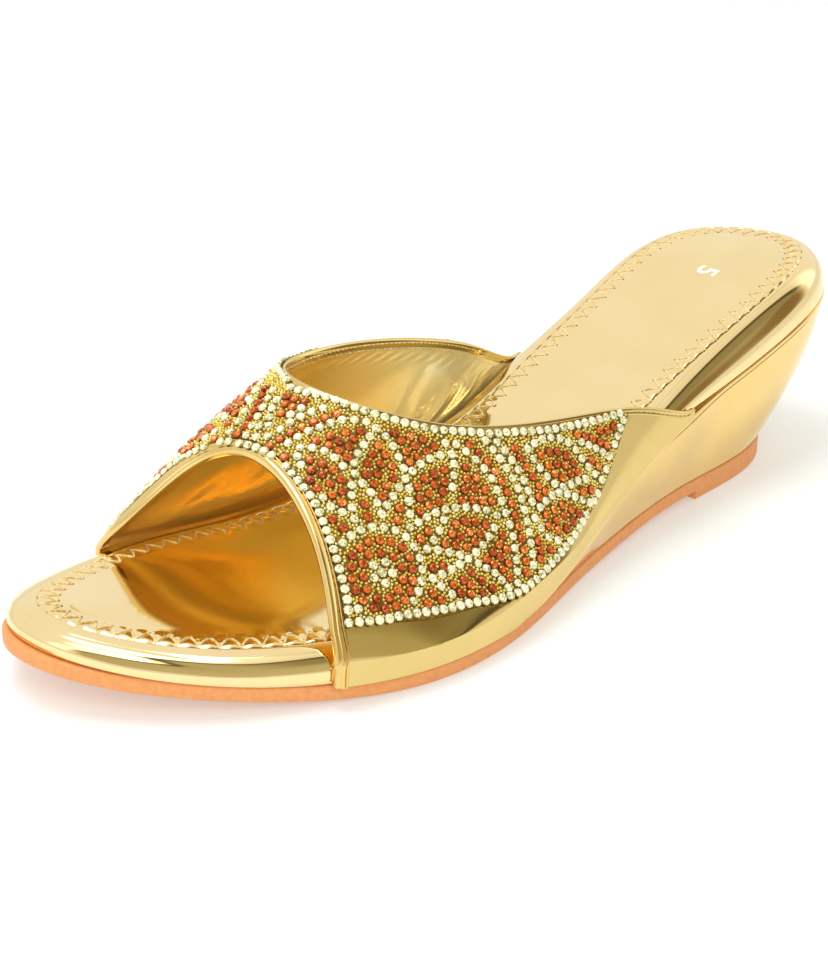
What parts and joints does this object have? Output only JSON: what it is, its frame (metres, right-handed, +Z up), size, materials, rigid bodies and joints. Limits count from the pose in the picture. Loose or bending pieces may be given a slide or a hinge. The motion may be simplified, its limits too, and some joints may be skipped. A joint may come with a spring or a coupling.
{
  "type": "slip-on wedge heel",
  "caption": "Open-toe slip-on shoe for the left foot: low wedge heel, padded footbed, and one wide strap with a beaded overlay and a taped front edge.",
  "frame": {"origin": "middle of the outside box in plan, on the floor under the sole", "axes": "+Z up, +Y from the toe to the heel, +X towards the outer (lateral) side of the left foot"},
  "size_m": [0.0858, 0.2478, 0.0528],
  "materials": {
    "outsole": "smooth moulded tan sole",
    "wedge": "mirror gold coated synthetic, wrapped",
    "footbed": "mirror gold coated synthetic over foam",
    "upper": "mirror gold coated synthetic with gold lining",
    "bead_panel": "glued faceted stones and seed beads on a cloth backing",
    "front_binding": "stitched gold tape"
  },
  "bodies": {
    "root": {"outsole": "outsole", "wedge": "wedge", "footbed": "footbed", "upper": "upper", "bead_panel": "bead_panel", "front_binding": "front_binding"}
  },
  "joints": []
}
